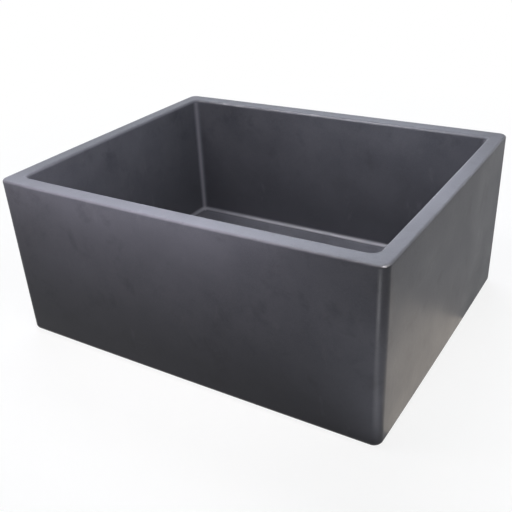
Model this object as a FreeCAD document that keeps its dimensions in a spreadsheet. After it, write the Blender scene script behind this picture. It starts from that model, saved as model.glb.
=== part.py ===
import FreeCAD, Part
import math
import os

import Sketcher

# Farmhouse kitchen sink: one deep fireclay bowl with an apron front, and the
# basket strainer waste that hangs from the hole in its floor.
# Millimetres. +Z up, apron towards -Y, origin on the plane the bowl rests on,
# straight below the middle of the drain.

SIZES = {
    # bowl, outside
    "sink_width": 605.0,
    "sink_depth": 488.0,
    "sink_height": 257.0,
    "wall_draft": 3.0,
    "corner_round": 13.0,
    "base_round": 8.0,
    "rim_round": 3.5,
    # bowl, inside
    "front_wall": 27.0,
    "side_wall": 24.0,
    "lip_round": 5.0,
    "basin_corner": 12.0,
    "basin_fillet": 8.0,
    "floor_edge": 31.0,
    "floor_fall": 10.0,
    "floor_margin": 3.0,
    # drain hole in the floor
    "drain_bore": 92.0,
    "seat_gap": 2.0,
    "seat_depth": 4.0,
    "seat_round": 1.5,
    "seat_flat": 6.0,
    "recess_room": 20.0,
    "recess_depth": 4.0,
    # strainer body
    "body_wall": 1.5,
    "flange_lap": 11.0,
    "drain_gap": 1.5,
    "ledge_width": 2.0,
    "ledge_lift": 3.5,
    "cup_depth": 42.5,
    "cone_drop": 16.0,
    "outlet_bore": 40.0,
    "outlet_wall": 3.5,
    "outlet_length": 20.0,
    "press_round": 0.7,
    # rings and nut that clamp the body to the floor
    "flange_seal_thick": 2.0,
    "flange_seal_inset": 1.5,
    "ring_clearance": 0.5,
    "ring_width": 15.0,
    "gasket_thick": 3.0,
    "friction_thick": 1.5,
    "thread_clearance": 0.15,
    "locknut_wall": 10.0,
    "locknut_height": 14.0,
    "locknut_lugs": 8,
    "lug_width": 12.0,
    "lug_reach": 7.0,
    # tailpiece and its coupling
    "tail_diameter": 38.1,
    "tail_wall": 1.2,
    "tail_length": 100.0,
    "tail_flange_gap": 0.5,
    "tail_flange_thick": 1.5,
    "tail_washer_thick": 2.5,
    "coupling_wall": 4.5,
    "coupling_grip": 17.0,
    "coupling_floor": 3.0,
    "coupling_gap": 1.15,
    "coupling_round": 2.0,
    # basket
    "basket_wall": 1.0,
    "basket_depth": 25.0,
    "basket_rim_gap": 0.4,
    "basket_side_gap": 1.0,
    "basket_taper": 4.0,
    "basket_hole": 4.0,
    "hole_pitch": 7.0,
    "hole_step": 6.5,
    "hole_margin": 1.5,
    "slot_count": 28,
    "slot_width": 3.0,
    "slot_height": 11.0,
    "slot_lift": 13.0,
    # bush in the basket
    "guide_wall": 0.9,
    "guide_clearance": 0.1,
    "guide_lap": 3.5,
    "guide_flange_thick": 3.5,
    "guide_washer_thick": 0.8,
    "guide_nut_wall": 2.9,
    "guide_nut_height": 3.0,
    "guide_tail": 1.0,
    "groove_depth": 1.6,
    "groove_height": 2.2,
    "o_ring_clearance": 0.03,
    # stopper
    "stem_diameter": 6.0,
    "stem_clearance": 0.05,
    "stud_step": 0.5,
    "collar_step": 2.0,
    "collar_height": 2.0,
    "seal_radius": 26.0,
    "seal_thick": 5.0,
    "seal_gap": 0.4,
    "cap_margin": 3.0,
    "plate_thick": 1.2,
    "plate_margin": 4.0,
    "stem_nut_wall": 1.35,
    "stem_nut_height": 4.0,
    "stud_tail": 1.0,
    "knob_wall": 2.95,
    "knob_overhang": 5.0,
    "knob_height": 16.0,
    "knob_head": 7.0,
    "knob_round": 2.5,
    "knob_grip": 10.0,
    "knob_rise": 10.0,
}

doc = FreeCAD.newDocument("farmhouse_sink")
sheet = doc.addObject("Spreadsheet::Sheet", "Sizes")
for row, (name, number) in enumerate(SIZES.items(), 1):
    sheet.set(f"A{row}", name)
    sheet.set(f"B{row}", str(number))
    sheet.setAlias(f"B{row}", name)
doc.recompute()


class Dim:
    """A length worked out from the sheet: its expression, and the number that comes to now."""

    def __init__(self, text, number):
        self.text = text
        self.number = number

    def __add__(self, other):
        other = as_dim(other)
        return Dim(f"({self.text} + {other.text})", self.number + other.number)

    def __sub__(self, other):
        other = as_dim(other)
        return Dim(f"({self.text} - {other.text})", self.number - other.number)

    def __mul__(self, other):
        other = as_dim(other)
        return Dim(f"({self.text} * {other.text})", self.number * other.number)

    def __truediv__(self, other):
        other = as_dim(other)
        return Dim(f"({self.text} / {other.text})", self.number / other.number)

    def __neg__(self):
        return Dim(f"(0 - {self.text})", -self.number)


def as_dim(length):
    return length if isinstance(length, Dim) else Dim(f"({length:.9f})", float(length))


def size(name):
    return Dim(f"Sizes.{name}", float(getattr(sheet, name)))


ZERO = as_dim(0)


def bind(thing, prop, length):
    thing.setExpression(prop, length.text)


def new_body(label):
    body = doc.addObject("PartDesign::Body", label)
    body.Label = label
    return body


def origin_part(body, role):
    return next(each for each in body.Origin.OriginFeatures if each.Role == role)


def new_sketch(body, name, role, lift=ZERO):
    """Sketch on one of the body's own planes, lifted along the plane's normal."""
    sketch = body.newObject("Sketcher::SketchObject", name)
    sketch.AttachmentSupport = [(origin_part(body, role), "")]
    sketch.MapMode = "FlatFace"
    bind(sketch, "AttachmentOffset.Base.z", lift)
    return sketch


def hold(sketch, kind, length, *where):
    """One constraint whose length stays tied to the sheet."""
    index = sketch.addConstraint(Sketcher.Constraint(kind, *where, length.number))
    sketch.setExpression(f"Constraints[{index}]", length.text)


def hold_point(sketch, curve, end, x, y):
    """Tie one point of a curve to the sheet, measured from the sketch's origin."""
    for kind, length, axis in (("DistanceX", x, -2), ("DistanceY", y, -1)):
        if length is ZERO:
            sketch.addConstraint(Sketcher.Constraint("PointOnObject", curve, end, axis))
        else:
            hold(sketch, kind, length, -1, 1, curve, end)


def draw_outline(sketch, points):
    """Closed outline of straight runs through points whose two lengths come from the sheet."""
    spots = [FreeCAD.Vector(x.number, y.number, 0) for x, y in points]
    following = spots[1:] + spots[:1]
    lines = [sketch.addGeometry(Part.LineSegment(a, b)) for a, b in zip(spots, following)]
    for line, after in zip(lines, lines[1:] + lines[:1]):
        sketch.addConstraint(Sketcher.Constraint("Coincident", line, 2, after, 1))
    for line, (x, y) in zip(lines, points):
        hold_point(sketch, line, 1, x, y)


def draw_box(sketch, x_low, x_high, y_low, y_high):
    draw_outline(sketch, [(x_low, y_low), (x_high, y_low), (x_high, y_high), (x_low, y_high)])


def draw_rectangle(sketch, width, depth):
    """Rectangle about the sketch's origin."""
    draw_box(sketch, -(width / 2), width / 2, -(depth / 2), depth / 2)


def draw_hexagon(sketch, flats):
    """Hexagon about the sketch's origin, from its width across flats."""
    reach = flats / math.sqrt(3)
    angles = [math.radians(60 * i + 15) for i in range(6)]
    draw_outline(sketch, [(reach * math.cos(a), reach * math.sin(a)) for a in angles])


def draw_circle(sketch, diameter, x=ZERO):
    centre = FreeCAD.Vector(x.number, 0, 0)
    circle = sketch.addGeometry(Part.Circle(centre, FreeCAD.Vector(0, 0, 1), diameter.number / 2))
    hold(sketch, "Diameter", diameter, circle)
    hold_point(sketch, circle, 3, x, ZERO)


def draw_slot(sketch, width, low, high):
    """Upright slot with round ends on the sketch's vertical axis."""
    radius = width / 2
    up = FreeCAD.Vector(0, 0, 1)
    ends = []
    for height, start in ((high - radius, 0), (low + radius, math.pi)):
        middle = Part.Circle(FreeCAD.Vector(0, height.number, 0), up, radius.number)
        arc = sketch.addGeometry(Part.ArcOfCircle(middle, start, start + math.pi))
        hold(sketch, "Radius", radius, arc)
        hold_point(sketch, arc, 3, ZERO, height)
        ends.append(arc)
    for first, second in (ends, ends[::-1]):
        side = Part.LineSegment(sketch.getPoint(first, 2), sketch.getPoint(second, 1))
        line = sketch.addGeometry(side)
        sketch.addConstraint(Sketcher.Constraint("Tangent", first, 2, line, 1))
        sketch.addConstraint(Sketcher.Constraint("Coincident", line, 2, second, 1))


def turn(body, name, points, kind="PartDesign::Revolution"):
    """Turn a half section, given as radius and height, about the drain axis."""
    sketch = new_sketch(body, f"{name}_section", "XZ_Plane")
    draw_outline(sketch, points)
    feature = body.newObject(kind, name)
    feature.Profile = sketch
    feature.ReferenceAxis = (sketch, ["V_Axis"])
    feature.Angle = 360
    doc.recompute()
    return feature


def push(body, name, sketch, length, kind="PartDesign::Pad"):
    """Pad a sketch up from its plane, or pocket it down from there."""
    feature = body.newObject(kind, name)
    feature.Profile = sketch
    bind(feature, "Length", length)
    doc.recompute()
    return feature


def frustum(body, name, kind, low, low_half, top, top_half):
    """Block between two level rectangles about the drain axis, each given by its two half sides."""
    feature = body.newObject(kind, name)
    feature.Placement = FreeCAD.Placement(FreeCAD.Vector(), FreeCAD.Rotation(FreeCAD.Vector(1, 0, 0), 90))
    bind(feature, "Ymin", low)
    bind(feature, "Ymax", top)
    for mark, (half_width, half_depth) in (("", low_half), ("2", top_half)):
        bind(feature, f"X{mark}min", -half_width)
        bind(feature, f"X{mark}max", half_width)
        bind(feature, f"Z{mark}min", -half_depth)
        bind(feature, f"Z{mark}max", half_depth)
    doc.recompute()


def repeat_round(body, name, original, count):
    """Repeat a feature evenly about the drain axis."""
    feature = body.newObject("PartDesign::PolarPattern", name)
    feature.Originals = [original]
    feature.Axis = (origin_part(body, "Z_Axis"), [""])
    feature.Angle = 360
    bind(feature, "Occurrences", count)
    body.Tip = feature
    doc.recompute()


def round_edges(body, name, radius, wanted):
    """Round every edge of the body so far that the test picks out."""
    base = body.Tip
    picked = [f"Edge{i}" for i, edge in enumerate(base.Shape.Edges, 1) if wanted(edge)]
    feature = body.newObject("PartDesign::Fillet", name)
    feature.Base = (base, picked)
    bind(feature, "Radius", radius)
    doc.recompute()


def near(a, b):
    return abs(a - b) < 1e-4


def is_upright(edge):
    box = edge.BoundBox
    return near(box.XLength, 0) and near(box.YLength, 0)


def lies_at(edge, height):
    box = edge.BoundBox
    return near(box.ZMin, height.number) and near(box.ZMax, height.number)


def spans(edge, low, top):
    """Edge that rises from one height to another."""
    box = edge.BoundBox
    return near(box.ZMin, low.number) and near(box.ZMax, top.number)


def lies_within(edge, half_width, half_depth):
    """Edge inside an upright box about the drain axis."""
    box = edge.BoundBox
    wide = max(box.XMax, -box.XMin) < half_width.number
    deep = max(box.YMax, -box.YMin) < half_depth.number
    return wide and deep


def is_circle(edge, radius, height):
    """Whole circle about the drain axis, of this radius at this height."""
    if not isinstance(edge.Curve, Part.Circle) or not edge.isClosed():
        return False
    return lies_at(edge, height) and near(edge.Curve.Radius, radius.number)


def ring(label, inner, outer, low, high):
    """Flat ring, given by its two radii and two heights."""
    body = new_body(label)
    turn(body, f"{label}_ring", [(inner, low), (outer, low), (outer, high), (inner, high)])


def hex_nut(label, inner, wall, low, height):
    """Hexagon nut about the drain axis, from its hole's radius and its wall at the flats."""
    body = new_body(label)
    sketch = new_sketch(body, f"{label}_sketch", "XY_Plane", low)
    draw_hexagon(sketch, (inner + wall) * 2)
    draw_circle(sketch, inner * 2)
    push(body, f"{label}_pad", sketch, height)
    return body


# Fireclay bowl: a block that narrows a little towards its foot, with a deep basin,
# a floor that falls to the drain from all four sides, a sunk seat for the flange
# and a shallow recess underneath.
bowl = new_body("sink_bowl")
width = size("sink_width")
depth = size("sink_depth")
height = size("sink_height")
front_wall = size("front_wall")
side_wall = size("side_wall")
inner_width = width - side_wall * 2
inner_depth = depth - front_wall * 2
rim_middle = ((width - side_wall) / 2, (depth - front_wall) / 2)
drain_radius = size("drain_bore") / 2
flange_radius = drain_radius + size("flange_lap")
seat_radius = flange_radius + size("seat_gap")
floor_edge = size("floor_edge")
floor_low = floor_edge - size("floor_fall")
seat_level = floor_low - size("seat_depth")
recess_level = size("recess_depth")

draft = size("wall_draft")
frustum(bowl, "block", "PartDesign::AdditiveWedge",
        ZERO, (width / 2 - draft, depth / 2 - draft), height, (width / 2, depth / 2))
round_edges(bowl, "block_corners", size("corner_round"), lambda edge: spans(edge, ZERO, height))

basin_sketch = new_sketch(bowl, "basin_sketch", "XY_Plane", height)
draw_rectangle(basin_sketch, inner_width, inner_depth)
push(bowl, "basin", basin_sketch, height - floor_edge, "PartDesign::Pocket")
round_edges(bowl, "basin_corners", size("basin_corner"),
            lambda edge: spans(edge, floor_edge, height))
round_edges(bowl, "basin_foot", size("basin_fillet"), lambda edge: lies_at(edge, floor_edge))

slope_inset = size("basin_fillet") + size("floor_margin")
slope_x = inner_width / 2 - slope_inset
slope_y = inner_depth / 2 - slope_inset
seat_square = seat_radius + size("seat_flat")
frustum(bowl, "floor_slope", "PartDesign::SubtractiveWedge",
        floor_low, (seat_square, seat_square), floor_edge, (slope_x, slope_y))

neck_radius = drain_radius - size("drain_gap")
thread_radius = neck_radius - size("ledge_width")
ring_inside = thread_radius + size("ring_clearance")
ring_outside = ring_inside + size("ring_width")
recess_radius = ring_outside + size("recess_room")
turn(bowl, "drain", [
    (ZERO, floor_edge), (seat_radius, floor_edge), (seat_radius, seat_level), (drain_radius, seat_level),
    (drain_radius, recess_level), (recess_radius, recess_level), (recess_radius, -recess_level),
    (ZERO, -recess_level),
], "PartDesign::Groove")
round_edges(bowl, "seat_lip", size("seat_round"), lambda edge: is_circle(edge, seat_radius, floor_low))
round_edges(bowl, "rim_inner", size("lip_round"),
            lambda edge: lies_at(edge, height) and lies_within(edge, *rim_middle))
round_edges(bowl, "rim_outer", size("rim_round"),
            lambda edge: lies_at(edge, height) and not lies_within(edge, *rim_middle))
round_edges(bowl, "base_edge", size("base_round"),
            lambda edge: lies_at(edge, ZERO) and not lies_within(edge, *rim_middle))

# Strainer body: a flange that lies in the seat, a neck through the floor, a ledge
# for the basket, a threaded cup below the floor and a cone down to the outlet.
body_wall = size("body_wall")
flange_low = seat_level + size("flange_seal_thick")
flange_top = flange_low + body_wall
neck_inside = neck_radius - body_wall
cup_inside = thread_radius - body_wall
ledge_low = recess_level + size("ledge_lift")
ledge_top = ledge_low + body_wall
cone_top = ledge_top - size("cup_depth")
cone_low = cone_top - size("cone_drop")
outlet_inside = size("outlet_bore") / 2
outlet_radius = outlet_inside + size("outlet_wall")
outlet_end = cone_low - size("outlet_length")

strainer = new_body("strainer_body")
turn(strainer, "strainer_shell", [
    (flange_radius, flange_low), (neck_radius, flange_low), (neck_radius, ledge_low),
    (thread_radius, ledge_low), (thread_radius, cone_top), (outlet_radius, cone_low),
    (outlet_radius, outlet_end), (outlet_inside, outlet_end), (outlet_inside, cone_low),
    (cup_inside, cone_top), (cup_inside, ledge_top), (neck_inside, ledge_top),
    (neck_inside, flange_top), (flange_radius, flange_top),
])
round_edges(strainer, "strainer_rounds", size("press_round"),
            lambda edge: is_circle(edge, flange_radius, flange_top)
            or is_circle(edge, neck_inside, flange_top) or is_circle(edge, cup_inside, ledge_top))

# Seal under the flange, then gasket, friction ring and lugged nut below the floor.
flange_seal_inset = size("flange_seal_inset")
ring("flange_seal", drain_radius + flange_seal_inset, flange_radius - flange_seal_inset,
     seat_level, flange_low)

gasket_low = recess_level - size("gasket_thick")
friction_low = gasket_low - size("friction_thick")
locknut_low = friction_low - size("locknut_height")
ring("drain_gasket", ring_inside, ring_outside, gasket_low, recess_level)
ring("friction_ring", ring_inside, ring_outside, friction_low, gasket_low)

locknut_inside = thread_radius + size("thread_clearance")
locknut_outside = locknut_inside + size("locknut_wall")
lug_half = size("lug_width") / 2
locknut = new_body("drain_locknut")
turn(locknut, "locknut_ring", [
    (locknut_inside, locknut_low), (locknut_outside, locknut_low),
    (locknut_outside, friction_low), (locknut_inside, friction_low),
])
lug_sketch = new_sketch(locknut, "lug_sketch", "XY_Plane", locknut_low)
draw_box(lug_sketch, locknut_outside - size("locknut_wall") / 2, locknut_outside + size("lug_reach"),
         -lug_half, lug_half)
lug = push(locknut, "lug", lug_sketch, size("locknut_height"))
repeat_round(locknut, "lugs", lug, size("locknut_lugs"))

# Tailpiece: a flanged tube drawn up against the outlet by a nut, with a washer between.
tail_radius = size("tail_diameter") / 2
tail_inside = tail_radius - size("tail_wall")
tail_flange = outlet_radius - size("tail_flange_gap")
washer_low = outlet_end - size("tail_washer_thick")
tail_flange_low = washer_low - size("tail_flange_thick")
tail_end = washer_low - size("tail_length")
ring("tailpiece_washer", outlet_inside, tail_flange, washer_low, outlet_end)

tailpiece = new_body("tailpiece")
turn(tailpiece, "tail_tube", [
    (tail_inside, washer_low), (tail_flange, washer_low), (tail_flange, tail_flange_low),
    (tail_radius, tail_flange_low), (tail_radius, tail_end), (tail_inside, tail_end),
])

coupling_low = tail_flange_low - size("coupling_floor")
coupling_top = outlet_end + size("coupling_grip")
coupling_hole = tail_radius + size("coupling_gap")
coupling_thread = outlet_radius + size("thread_clearance")
coupling_flat = coupling_thread + size("coupling_wall")
coupling = hex_nut("coupling_nut", coupling_hole, coupling_flat - coupling_hole,
                   coupling_low, coupling_top - coupling_low)
turn(coupling, "coupling_bore", [
    (ZERO, tail_flange_low), (coupling_thread, tail_flange_low),
    (coupling_thread, coupling_top), (ZERO, coupling_top),
], "PartDesign::Groove")
round_edges(coupling, "coupling_edges", size("coupling_round"), is_upright)

# Basket: a thin perforated cup whose rim lies on the ledge.
basket_wall = size("basket_wall")
rim_radius = neck_inside - size("basket_rim_gap")
basket_top = cup_inside - size("basket_side_gap")
basket_foot = basket_top - size("basket_taper")
floor_under = ledge_top - size("basket_depth")
floor_over = floor_under + basket_wall
stem_radius = size("stem_diameter") / 2
guide_bore = stem_radius + size("stem_clearance")
groove_radius = guide_bore + size("groove_depth")
guide_radius = groove_radius + size("guide_wall")
guide_hole = guide_radius + size("guide_clearance")
guide_flange = guide_radius + size("guide_lap")

basket = new_body("basket_cup")
turn(basket, "basket_shell", [
    (rim_radius, ledge_top), (rim_radius, ledge_top + basket_wall),
    (basket_top - basket_wall, ledge_top + basket_wall), (basket_foot - basket_wall, floor_over),
    (guide_hole, floor_over), (guide_hole, floor_under),
    (basket_foot, floor_under), (basket_top, ledge_top),
])
hole = size("basket_hole")
hole_space = hole / 2 + size("hole_margin")
hole_ring = guide_flange + hole_space
hole_limit = basket_foot - basket_wall - hole_space
ring_number = 1
while hole_ring.number <= hole_limit.number:
    hole_sketch = new_sketch(basket, f"hole_sketch_{ring_number}", "XY_Plane", floor_over)
    draw_circle(hole_sketch, hole, hole_ring)
    drilled = push(basket, f"hole_{ring_number}", hole_sketch, basket_wall, "PartDesign::Pocket")
    round_trip = hole_ring * (2 * math.pi) / size("hole_step")
    fitting = Dim(f"floor({round_trip.text})", math.floor(round_trip.number))
    repeat_round(basket, f"holes_{ring_number}", drilled, fitting)
    hole_ring = hole_ring + size("hole_pitch")
    ring_number += 1

slot_middle = floor_under + size("slot_lift")
slot_half = size("slot_height") / 2
slot_sketch = new_sketch(basket, "slot_sketch", "YZ_Plane", basket_top)
draw_slot(slot_sketch, size("slot_width"), slot_middle - slot_half, slot_middle + slot_half)
slot = push(basket, "slot", slot_sketch, size("basket_taper") + basket_wall * 2, "PartDesign::Pocket")
repeat_round(basket, "slots", slot, size("slot_count"))

# Bush through the basket floor with a washer and a thin nut under it; a rubber
# ring in its groove grips the stem lightly.
guide_top = floor_over + size("guide_flange_thick")
guide_washer_low = floor_under - size("guide_washer_thick")
guide_nut_low = guide_washer_low - size("guide_nut_height")
guide_end = guide_nut_low - size("guide_tail")
groove_middle = (guide_top + guide_end) / 2
groove_half = size("groove_height") / 2

guide = new_body("stem_guide")
turn(guide, "guide_bush", [
    (guide_bore, guide_top), (guide_flange, guide_top), (guide_flange, floor_over),
    (guide_radius, floor_over), (guide_radius, guide_end), (guide_bore, guide_end),
    (guide_bore, groove_middle - groove_half), (groove_radius, groove_middle - groove_half),
    (groove_radius, groove_middle + groove_half), (guide_bore, groove_middle + groove_half),
])
ring("guide_washer", guide_hole, guide_flange, guide_washer_low, floor_under)
hex_nut("guide_nut", guide_hole, size("guide_nut_wall"), guide_nut_low, size("guide_nut_height"))

o_ring = doc.addObject("Part::Torus", "stem_o_ring")
o_ring.Label = "stem_o_ring"
bind(o_ring, "Radius1", (groove_radius + stem_radius) / 2)
bind(o_ring, "Radius2", (groove_radius - stem_radius) / 2 - size("o_ring_clearance"))
bind(o_ring, "Placement.Base.z", groove_middle)

# Stopper: a rubber disc that matches the cone, clamped between two plates on the
# foot of a stem that slides in the bush, with a knob at its head.
cone_slope = size("cone_drop") / (cup_inside - outlet_inside)
seal_foot = size("seal_radius")
seal_low = cone_low + (seal_foot - outlet_inside) * cone_slope + size("seal_gap")
seal_top = seal_low + size("seal_thick")
seal_head = seal_foot + size("seal_thick") / cone_slope
cap_top = seal_top + size("plate_thick")
plate_low = seal_low - size("plate_thick")
collar_top = cap_top + size("collar_height")
stem_nut_low = plate_low - size("stem_nut_height")
stud_end = stem_nut_low - size("stud_tail")
stud_radius = stem_radius - size("stud_step")
collar_radius = stem_radius + size("collar_step")
stud_hole = stud_radius + size("thread_clearance")
knob_low = guide_top + size("knob_rise")
knob_top = knob_low + size("knob_height")
head_low = knob_top - size("knob_head")
stem_top = knob_low + size("knob_grip")

stem = new_body("stopper_stem")
turn(stem, "stem_rod", [
    (ZERO, stem_top), (stem_radius, stem_top), (stem_radius, collar_top),
    (collar_radius, collar_top), (collar_radius, cap_top),
    (stud_radius, cap_top), (stud_radius, stud_end), (ZERO, stud_end),
])
ring("stopper_cap", stud_hole, seal_head - size("cap_margin"), seal_top, cap_top)
seal = new_body("stopper_seal")
turn(seal, "seal_disc", [
    (stud_hole, seal_low), (seal_foot, seal_low), (seal_head, seal_top), (stud_hole, seal_top),
])
ring("stopper_plate", stud_hole, seal_foot - size("plate_margin"), plate_low, seal_low)
hex_nut("stem_nut", stud_hole, size("stem_nut_wall"), stem_nut_low, size("stem_nut_height"))

knob_neck = guide_bore + size("knob_wall")
knob_radius = knob_neck + size("knob_overhang")
knob = new_body("stopper_knob")
turn(knob, "knob_block", [
    (guide_bore, knob_low), (knob_neck, knob_low), (knob_neck, head_low), (knob_radius, head_low),
    (knob_radius, knob_top), (ZERO, knob_top), (ZERO, stem_top), (guide_bore, stem_top),
])
round_edges(knob, "knob_rounds", size("knob_round"),
            lambda edge: is_circle(edge, knob_radius, head_low) or is_circle(edge, knob_radius, knob_top))

doc.recompute()
sub_parts = [each for each in doc.Objects if each.TypeId in ("PartDesign::Body", "Part::Torus")]
for each in doc.Objects:
    if "Invalid" in each.State or "Error" in each.State:
        raise RuntimeError(f"{each.Label} did not build")
for each in sub_parts:
    if each.Shape.isNull() or not each.Shape.isValid() or len(each.Shape.Solids) != 1:
        raise RuntimeError(f"{each.Label} is not one sound solid")

os.makedirs("parts", exist_ok=True)
for each in sub_parts:
    each.Shape.exportStep(f"parts/{each.Label}.step")
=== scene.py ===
import math

import bpy
import numpy as np
from mathutils import Matrix


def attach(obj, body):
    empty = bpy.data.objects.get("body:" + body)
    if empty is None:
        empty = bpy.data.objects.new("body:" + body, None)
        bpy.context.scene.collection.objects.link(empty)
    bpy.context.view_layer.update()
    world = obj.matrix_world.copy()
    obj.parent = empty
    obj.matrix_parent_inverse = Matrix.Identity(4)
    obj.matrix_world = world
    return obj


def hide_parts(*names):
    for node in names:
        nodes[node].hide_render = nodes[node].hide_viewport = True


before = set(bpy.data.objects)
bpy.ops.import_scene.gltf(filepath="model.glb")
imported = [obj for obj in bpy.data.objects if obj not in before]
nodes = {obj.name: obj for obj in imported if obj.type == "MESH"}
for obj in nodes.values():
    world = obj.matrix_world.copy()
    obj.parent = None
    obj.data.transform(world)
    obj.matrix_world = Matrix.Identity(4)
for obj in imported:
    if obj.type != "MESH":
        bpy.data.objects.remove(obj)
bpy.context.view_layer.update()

# Bowl: one deep fireclay basin, slip-cast in a plaster mould with walls an inch thick. The walls narrow
# a little towards the foot so that it leaves the mould, and bow a little in the kiln. It stands
# on its own flat foot, and the waste hangs from the hole in its floor.
MM = 0.001
RIM_HALF = np.array([302.5, 244.0])
FOOT_HALF = RIM_HALF - 3.0
BASIN_HALF = np.array([278.5, 217.0])
SINK_HEIGHT = 257.0
RIM_ROUND = 3.5
LIP_ROUND = 5.0
BASE_ROUND = 8.0
OUTER_CORNER = 13.0
BASIN_CORNER = 12.0
BASIN_FILLET = 8.0
FLOOR_MARGIN = 3.0
FLOOR_EDGE = 31.0
FLOOR_LOW = 21.0
SEAT_RADIUS = 59.0
SEAT_LEVEL = 17.0
SEAT_ROUND = 1.5
BORE_RADIUS = 46.0
RECESS_RADIUS = 78.0
RECESS_LEVEL = 4.0
EDGE_EASE = 1.5
SLOPE_CORNER = 150.0
KILN_BOW = 1.0
RIM_SAG = 1.2
RIPPLE = 0.12

# A row of the bowl holds half width, half depth, corner radius, circle's radius, roundness, height, how far it is into
# a round (which paces the paler edge line and the painted fillet highlight) and bareness of the clay, in this order.
HEIGHT, ROUND_MIDDLE, BARE = 5, 6, 7


def loop_columns(along_x, along_y, round_corner):
    """Columns round a rounded rectangle, counter-clockwise from above. Each has the corner centre that it is
    measured from, -1 to 1 on both axes, and the angle of its outward direction: on a straight side
    the centre slides and the angle stays, on a corner the centre stays and the angle turns."""
    bend = np.linspace(0, np.pi / 2, round_corner + 2)[1:-1]
    slide_x, slide_y = np.linspace(-1, 1, along_x), np.linspace(-1, 1, along_y)
    side_x, side_y, corner = np.ones(along_x), np.ones(along_y), np.ones(round_corner)
    centre_x = [side_y, corner, -slide_x, -corner, -side_y, -corner, slide_x, corner]
    centre_y = [slide_y, corner, side_x, corner, -slide_y, -corner, -side_x, -corner]
    angle = [0 * side_y, bend, 0 * side_x, bend, 0 * side_y, bend, 0 * side_x, bend]
    turns = [0, 0, 1, 1, 2, 2, 3, 3]
    angle = [part + turn * np.pi / 2 for part, turn in zip(angle, turns)]
    return np.concatenate(centre_x), np.concatenate(centre_y), np.concatenate(angle)


def oblong(half, corner, height, bare=0.0):
    """One row of the bowl on a rounded rectangle."""
    return np.array([half[0], half[1], corner, 0.0, 0.0, height, 0.0, bare])


def round_row(radius, height, plan, bare=0.0):
    """One row of the bowl on a circle about the drain, which rows between fade to from that plan."""
    return np.array([plan[0], plan[1], plan[2], radius, 1.0, height, 0.0, bare])


def even(start, end, count):
    """Rows spaced evenly from one row up to the next, which is left out."""
    return start + (end - start) * np.linspace(0, 1, count, endpoint=False)[:, None]


def quarter(start, end, count, level_first):
    """Rows round a quarter circle, last one left out: the plan goes by sine while the height goes by one less
    cosine, or the other way about where the round starts upright. Its round-middle share peaks half way round."""
    turn = np.linspace(0, np.pi / 2, count, endpoint=False)
    fast, slow = np.sin(turn), 1 - np.cos(turn)
    plan, rise = (fast, slow) if level_first else (slow, fast)
    share = np.repeat(plan[:, None], start.size, axis=1)
    share[:, HEIGHT] = rise
    rows = start + (end - start) * share
    rows[:, ROUND_MIDDLE] = np.sin(2 * turn)
    return rows


def skin(name, grid, poles=None):
    """Mesh over a grid of points in millimetres, by row, column and axis. Columns close on themselves. Rows do
    too, unless the points of two poles are given, which close the first and the last row."""
    rows, columns = grid.shape[:2]
    points = grid.reshape(-1, 3)
    row = np.arange(rows if poles is None else rows - 1)[:, None] * columns
    above = (row + columns) % (rows * columns)
    here = np.arange(columns)
    beside = (here + 1) % columns
    quads = np.stack([row + here, row + beside, above + beside, above + here], axis=-1).reshape(-1, 4).tolist()
    if poles is not None:
        last = (rows - 1) * columns
        first_pole = np.full(columns, points.shape[0])
        points = np.concatenate([points, np.array(poles, float)])
        quads += np.stack([first_pole, beside, here], axis=-1).tolist()
        quads += np.stack([first_pole + 1, last + here, last + beside], axis=-1).tolist()
    mesh = bpy.data.meshes.new(name)
    mesh.from_pydata((points * MM).tolist(), [], quads)
    mesh.shade_smooth()
    piece = bpy.data.objects.new(name, mesh)
    bpy.context.scene.collection.objects.link(piece)
    piece.modifiers.new("true_flats", "WEIGHTED_NORMAL").keep_sharp = True
    return piece


base_flat = oblong(FOOT_HALF - BASE_ROUND, OUTER_CORNER - BASE_ROUND, 0, 1)
wall_foot = oblong(FOOT_HALF, OUTER_CORNER, BASE_ROUND)
wall_head = oblong(RIM_HALF, OUTER_CORNER, SINK_HEIGHT - RIM_ROUND)
rim_outer = oblong(RIM_HALF - RIM_ROUND, OUTER_CORNER - RIM_ROUND, SINK_HEIGHT)
rim_inner = oblong(BASIN_HALF + LIP_ROUND, BASIN_CORNER + LIP_ROUND, SINK_HEIGHT)
basin_head = oblong(BASIN_HALF, BASIN_CORNER, SINK_HEIGHT - LIP_ROUND)
basin_foot = oblong(BASIN_HALF, BASIN_CORNER, FLOOR_EDGE + BASIN_FILLET)
floor_outer = oblong(BASIN_HALF - BASIN_FILLET, BASIN_CORNER - BASIN_FILLET, FLOOR_EDGE)
slope_outer = oblong(BASIN_HALF - BASIN_FILLET - FLOOR_MARGIN,
                     BASIN_CORNER - BASIN_FILLET - FLOOR_MARGIN, FLOOR_EDGE)
seat_lip = round_row(SEAT_RADIUS + SEAT_ROUND, FLOOR_LOW, slope_outer)
seat_wall = round_row(SEAT_RADIUS, FLOOR_LOW - SEAT_ROUND, slope_outer)
seat_corner = round_row(SEAT_RADIUS, SEAT_LEVEL, slope_outer)
seat_inner = round_row(BORE_RADIUS + EDGE_EASE, SEAT_LEVEL, slope_outer)
bore_head = round_row(BORE_RADIUS, SEAT_LEVEL - EDGE_EASE, slope_outer, 1)
bore_foot = round_row(BORE_RADIUS, RECESS_LEVEL + EDGE_EASE, slope_outer, 1)
recess_inner = round_row(BORE_RADIUS + EDGE_EASE, RECESS_LEVEL, base_flat, 1)
recess_outer = round_row(RECESS_RADIUS, RECESS_LEVEL, base_flat, 1)
recess_foot = round_row(RECESS_RADIUS, EDGE_EASE, base_flat, 1)
base_inner = round_row(RECESS_RADIUS + EDGE_EASE, 0, base_flat, 1)

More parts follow.
